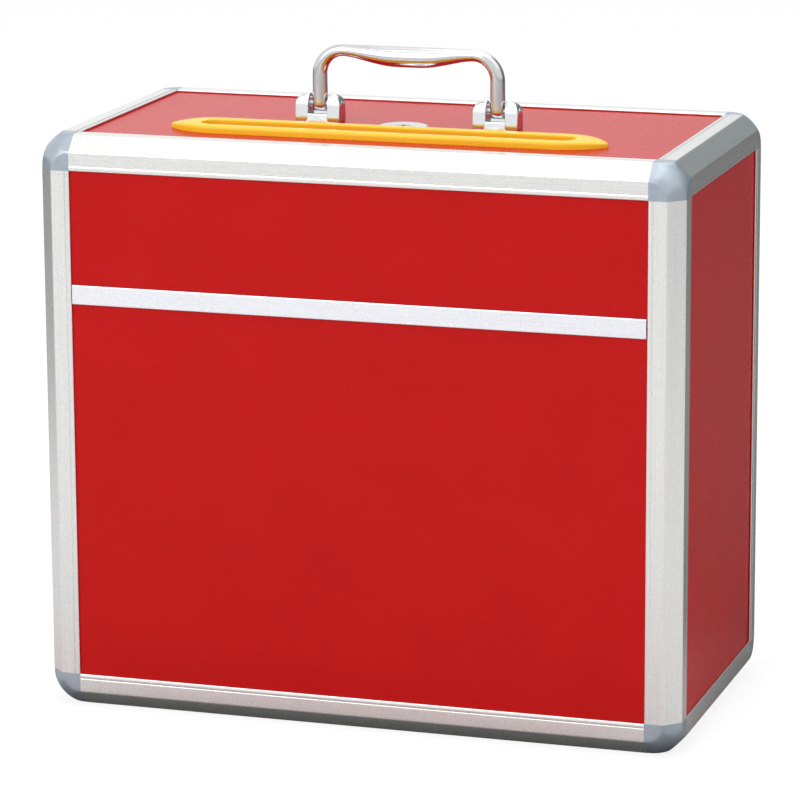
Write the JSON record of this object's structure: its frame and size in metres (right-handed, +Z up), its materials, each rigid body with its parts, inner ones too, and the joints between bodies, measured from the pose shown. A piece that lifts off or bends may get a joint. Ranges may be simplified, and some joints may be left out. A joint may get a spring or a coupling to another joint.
{
  "type": "ballot box",
  "caption": "Upright ballot box of red boards in aluminium edge rails with grey corner caps, a yellow-trimmed top slot, a folding chrome handle and a lockable rear door.",
  "frame": {"origin": "middle of the case's footprint, on the surface it stands on; the hinge makes the bounding box reach 3.65 mm further back", "axes": "+Z up, front with the joining strip towards -Y, rear door towards +Y, +X to the right seen from the front"},
  "size_m": [0.4, 0.2116, 0.4025],
  "materials": {
    "anodised_aluminium": "satin anodised extrusion",
    "grey_abs": "moulded, lightly textured",
    "red_board": "red laminated board, semi-matt",
    "yellow_plastic": "moulded, glossy",
    "chrome_plate": "polished chrome plate on die-cast zinc",
    "zinc_plated_steel": "bright zinc plate",
    "rivet_aluminium": "plain aluminium"
  },
  "bodies": {
    "case": {"rail_top_front": "anodised_aluminium", "rail_top_back": "anodised_aluminium", "rail_top_left": "anodised_aluminium", "rail_top_right": "anodised_aluminium", "rail_bottom_front": "anodised_aluminium", "rail_bottom_back": "anodised_aluminium", "rail_bottom_left": "anodised_aluminium", "rail_bottom_right": "anodised_aluminium", "post_front_left": "anodised_aluminium", "post_front_right": "anodised_aluminium", "post_back_left": "anodised_aluminium", "post_back_right": "anodised_aluminium", "cap_top_front_left": "grey_abs", "cap_top_front_right": "grey_abs", "cap_top_back_left": "grey_abs", "cap_top_back_right": "grey_abs", "cap_bottom_front_left": "grey_abs", "cap_bottom_front_right": "grey_abs", "cap_bottom_back_left": "grey_abs", "cap_bottom_back_right": "grey_abs", "board_top": "red_board", "board_bottom": "red_board", "board_left": "red_board", "board_right": "red_board", "board_front_upper": "red_board", "board_front_lower": "red_board", "board_back": "red_board", "front_strip": "anodised_aluminium", "slot_trim": "yellow_plastic", "handle_bracket_left": "chrome_plate", "handle_bracket_right": "chrome_plate", "handle_pin_left": "zinc_plated_steel", "handle_pin_right": "zinc_plated_steel", "handle_plate_left": "zinc_plated_steel", "handle_plate_right": "zinc_plated_steel", "handle_screws": "zinc_plated_steel", "slot_lock_body": "chrome_plate", "slot_lock_nut": "zinc_plated_steel", "door_surround": "anodised_aluminium", "hinge_leaf_frame": "anodised_aluminium", "hinge_wire": "zinc_plated_steel", "hinge_rivets_frame": "rivet_aluminium"},
    "handle": {"handle": "chrome_plate"},
    "door": {"door_board": "red_board", "door_edging": "anodised_aluminium", "hinge_leaf_door": "anodised_aluminium", "hinge_rivets_door": "rivet_aluminium", "door_lock_body": "chrome_plate", "door_lock_nut": "zinc_plated_steel"},
    "slot_lock": {"slot_lock_plug": "zinc_plated_steel", "slot_lock_cam": "zinc_plated_steel", "slot_lock_screw": "zinc_plated_steel"},
    "door_lock": {"door_lock_plug": "zinc_plated_steel", "door_lock_cam": "zinc_plated_steel", "door_lock_screw": "zinc_plated_steel"}
  },
  "joints": [
    {"name": "handle_fold", "type": "hinge", "parent": "case", "child": "handle", "pos_m": [0.002, 0, 0.3654], "axis": [1, 0, 0], "range_deg": [-90, 85]},
    {"name": "door_swing", "type": "hinge", "parent": "case", "child": "door", "pos_m": [-0.15075, 0.10565, 0.178], "axis": [0, 0, 1], "range_deg": [0, 165]},
    {"name": "slot_lock_turn", "type": "hinge", "parent": "case", "child": "slot_lock", "pos_m": [0.002, -0.011, 0.3544], "axis": [0, 0, -1], "range_deg": [0, 90]},
    {"name": "door_lock_turn", "type": "hinge", "parent": "door", "child": "door_lock", "pos_m": [0.12, 0.1024, 0.178], "axis": [0, 1, 0], "range_deg": [0, 90]}
  ]
}
